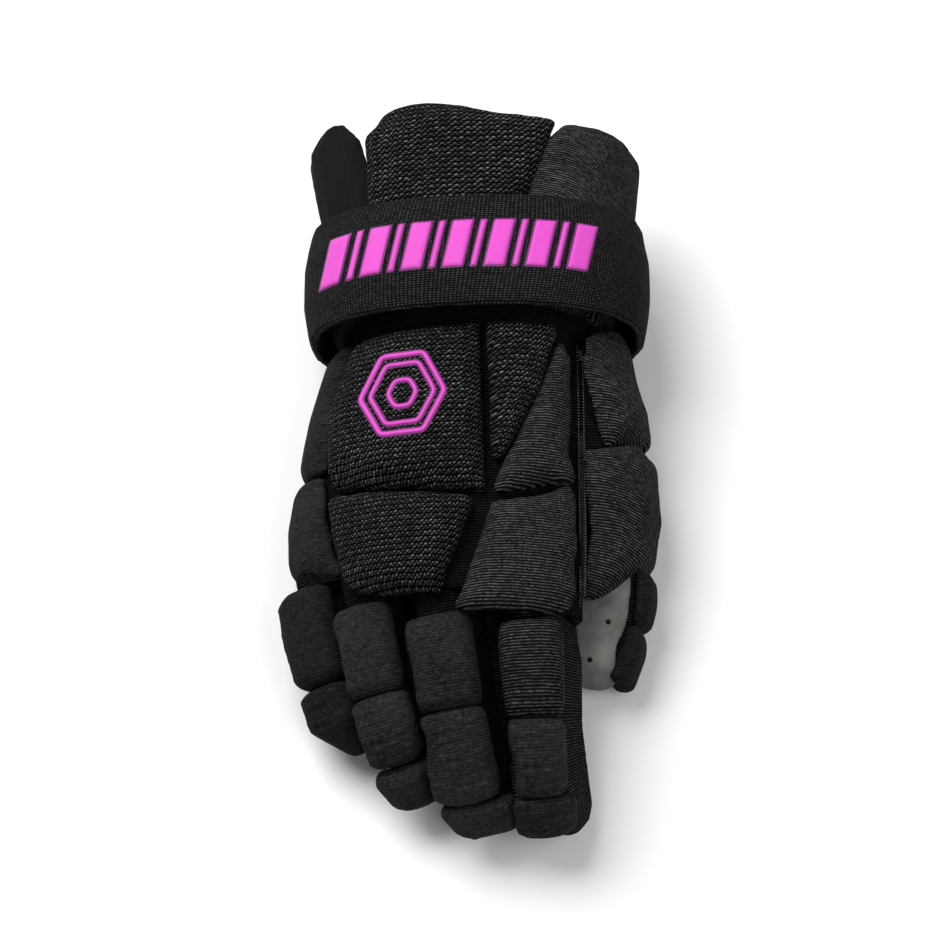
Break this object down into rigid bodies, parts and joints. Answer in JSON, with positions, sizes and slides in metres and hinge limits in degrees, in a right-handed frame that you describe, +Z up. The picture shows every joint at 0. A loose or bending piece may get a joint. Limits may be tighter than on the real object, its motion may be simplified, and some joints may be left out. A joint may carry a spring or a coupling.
{
  "type": "ball hockey glove",
  "caption": "Padded ball hockey glove with segmented finger rolls, grey suede palm, flared cuff and a wide wrist strap.",
  "frame": {"origin": "under the middle of the glove, on the surface it rests on", "axes": "+Z up from the surface to the back of the hand, -Y towards the fingertips, +X towards the thumb; palm down"},
  "size_m": [0.1724, 0.3384, 0.0946],
  "materials": {
    "palm_suede": "matte grey suede",
    "thumb_suede": "matte grey suede",
    "palm_patch": "pale quilted suede",
    "index_sleeve": "black knitted cloth",
    "middle_sleeve": "black knitted cloth",
    "ring_sleeve": "black knitted cloth",
    "pinky_sleeve": "black knitted cloth",
    "index_gusset": "black knitted cloth",
    "middle_gusset": "black knitted cloth",
    "ring_gusset": "black knitted cloth",
    "thumb_sleeve": "black knitted cloth",
    "back_shell": "black knitted cloth",
    "index_roll_1": "black knitted cloth",
    "index_roll_2": "black knitted cloth",
    "index_roll_3": "black knitted cloth",
    "middle_roll_1": "black knitted cloth",
    "middle_roll_2": "black knitted cloth",
    "middle_roll_3": "black knitted cloth",
    "ring_roll_1": "black knitted cloth",
    "ring_roll_2": "black knitted cloth",
    "ring_roll_3": "black knitted cloth",
    "pinky_roll_1": "black knitted cloth",
    "pinky_roll_2": "black knitted cloth",
    "centre_upper_pad": "coarse black mesh weave",
    "wedge_pad": "coarse black mesh weave",
    "index_upper_pad": "black knitted cloth",
    "centre_lower_pad": "coarse black mesh weave",
    "index_lower_pad": "black knitted cloth",
    "pinky_side_upper_pad": "black knitted cloth",
    "pinky_side_lower_pad": "black knitted cloth",
    "piping": "black knitted cloth",
    "cuff_centre_pad": "coarse black mesh weave",
    "cuff_pinky_ear": "black knitted cloth",
    "cuff_thumb_ear": "black knitted cloth",
    "thumb_side_upper_pad": "black knitted cloth",
    "thumb_side_lower_pad": "black knitted cloth",
    "thumb_roll_1": "black knitted cloth",
    "thumb_roll_2": "black knitted cloth",
    "wrist_binding": "black woven elastic",
    "cuff_webbing": "black woven elastic",
    "cuff_palm_flap": "black woven elastic",
    "wrist_strap": "black woven elastic",
    "strap_tab_pinky": "black woven elastic",
    "strap_tab_thumb": "black woven elastic"
  },
  "bodies": {
    "root": {"palm_suede": "palm_suede", "thumb_suede": "thumb_suede", "palm_patch": "palm_patch", "index_sleeve": "index_sleeve", "middle_sleeve": "middle_sleeve", "ring_sleeve": "ring_sleeve", "pinky_sleeve": "pinky_sleeve", "index_gusset": "index_gusset", "middle_gusset": "middle_gusset", "ring_gusset": "ring_gusset", "thumb_sleeve": "thumb_sleeve", "back_shell": "back_shell", "index_roll_1": "index_roll_1", "index_roll_2": "index_roll_2", "index_roll_3": "index_roll_3", "middle_roll_1": "middle_roll_1", "middle_roll_2": "middle_roll_2", "middle_roll_3": "middle_roll_3", "ring_roll_1": "ring_roll_1", "ring_roll_2": "ring_roll_2", "ring_roll_3": "ring_roll_3", "pinky_roll_1": "pinky_roll_1", "pinky_roll_2": "pinky_roll_2", "centre_upper_pad": "centre_upper_pad", "wedge_pad": "wedge_pad", "index_upper_pad": "index_upper_pad", "centre_lower_pad": "centre_lower_pad", "index_lower_pad": "index_lower_pad", "pinky_side_upper_pad": "pinky_side_upper_pad", "pinky_side_lower_pad": "pinky_side_lower_pad", "piping": "piping", "cuff_centre_pad": "cuff_centre_pad", "cuff_pinky_ear": "cuff_pinky_ear", "cuff_thumb_ear": "cuff_thumb_ear", "thumb_side_upper_pad": "thumb_side_upper_pad", "thumb_side_lower_pad": "thumb_side_lower_pad", "thumb_roll_1": "thumb_roll_1", "thumb_roll_2": "thumb_roll_2", "wrist_binding": "wrist_binding", "cuff_webbing": "cuff_webbing", "cuff_palm_flap": "cuff_palm_flap", "wrist_strap": "wrist_strap", "strap_tab_pinky": "strap_tab_pinky", "strap_tab_thumb": "strap_tab_thumb"}
  },
  "joints": []
}
